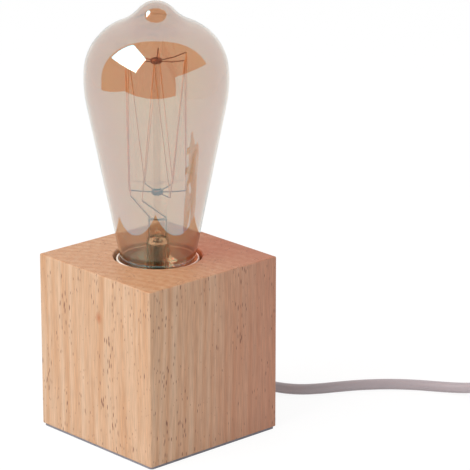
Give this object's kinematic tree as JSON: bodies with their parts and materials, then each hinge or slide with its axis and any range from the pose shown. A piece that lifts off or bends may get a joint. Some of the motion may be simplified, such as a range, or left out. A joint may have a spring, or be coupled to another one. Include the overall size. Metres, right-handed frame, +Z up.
{
  "type": "bare bulb table lamp",
  "caption": "Small table lamp: a wooden cube with a sunken lampholder carries a bare teardrop filament bulb, on a pale cord with an inline switch and a flat plug.",
  "frame": {"origin": "middle of the underside of the pad, on the surface the lamp stands on", "axes": "+Z up along the bulb; the cord leaves the middle of the +Y face, the back"},
  "size_m": [0.2193, 0.1801, 0.1982],
  "materials": {
    "oiled_oak": "oiled",
    "grey_felt": "pressed felt",
    "grey_plastic": "moulded",
    "white_phenolic": "moulded",
    "white_ceramic": "glazed",
    "zinc_steel": "zinc plated",
    "brass": "drawn",
    "nickel_cap": "nickel plated",
    "amber_glass": "blown",
    "mount_glass": "pressed",
    "black_glass": "cast",
    "cap_putty": "baked",
    "lead_wire": "drawn",
    "filament_wire": "coiled",
    "solder": "cast",
    "cord_pvc": "extruded",
    "brown_core": "extruded",
    "white_moulding": "moulded"
  },
  "bodies": {
    "lamp": {"wood_block": "oiled_oak", "base_pad": "grey_felt", "base_plate": "grey_plastic", "plate_screws": "zinc_steel", "cord_bush": "grey_plastic", "inner_sheath": "cord_pvc", "clamp_seat": "grey_plastic", "clamp_saddle": "grey_plastic", "clamp_screws": "zinc_steel", "threaded_nipple": "zinc_steel", "nut_washer": "zinc_steel", "lock_nut": "zinc_steel", "holder_cap": "white_phenolic", "holder_skirt": "white_phenolic", "holder_insert": "white_ceramic", "screw_shell": "nickel_cap", "live_terminal": "brass", "neutral_terminal": "brass", "terminal_screws": "zinc_steel", "contact_clamp": "brass", "live_wire": "brown_core", "neutral_wire": "brown_core", "cord_to_switch": "cord_pvc", "cord_to_coil": "cord_pvc", "cord_coil": "cord_pvc", "cord_to_plug": "cord_pvc", "switch_base": "white_moulding", "switch_cover": "white_moulding", "switch_contacts": "brass", "switch_wires": "brown_core", "switch_sheaths": "cord_pvc", "switch_screws": "zinc_steel", "plug_body": "white_moulding", "plug_pins": "nickel_cap"},
    "contact_spring": {"contact_leaf": "brass"},
    "bulb_carrier": {"tip_contact": "solder"},
    "bulb": {"cap_insulator": "black_glass", "cap_shell": "nickel_cap", "cap_cement": "cap_putty", "glass_envelope": "amber_glass", "glass_stem": "mount_glass", "support_rod": "mount_glass", "upper_hooks": "lead_wire", "lower_hooks": "lead_wire", "filament": "filament_wire", "side_lead": "lead_wire", "tip_lead": "lead_wire"},
    "rocker": {"switch_rocker": "white_moulding"}
  },
  "joints": [
    {"name": "bulb_rise", "type": "slide", "parent": "lamp", "child": "bulb_carrier", "axis": [0, 0, 1], "range_m": [0, 0.0182]},
    {"name": "bulb_turn", "type": "hinge", "parent": "bulb_carrier", "child": "bulb", "pos_m": [0, 0, 0.06], "axis": [0, 0, 1], "range_deg": [0, 1800]},
    {"name": "contact_flex", "type": "hinge", "parent": "lamp", "child": "contact_spring", "pos_m": [-0.0082, 0, 0.0452], "axis": [0, 1, 0], "range_deg": [0, 5], "stiffness_Nm_per_rad": 0.02},
    {"name": "switch_rock", "type": "hinge", "parent": "lamp", "child": "rocker", "pos_m": [0.1125, 0.1336, 0.0132], "axis": [0, 1, 0], "range_deg": [0, 16]}
  ],
  "couplings": [
    {"joint": "bulb_rise", "follows": "bulb_turn", "m_per_rad": 0.00057757}
  ]
}
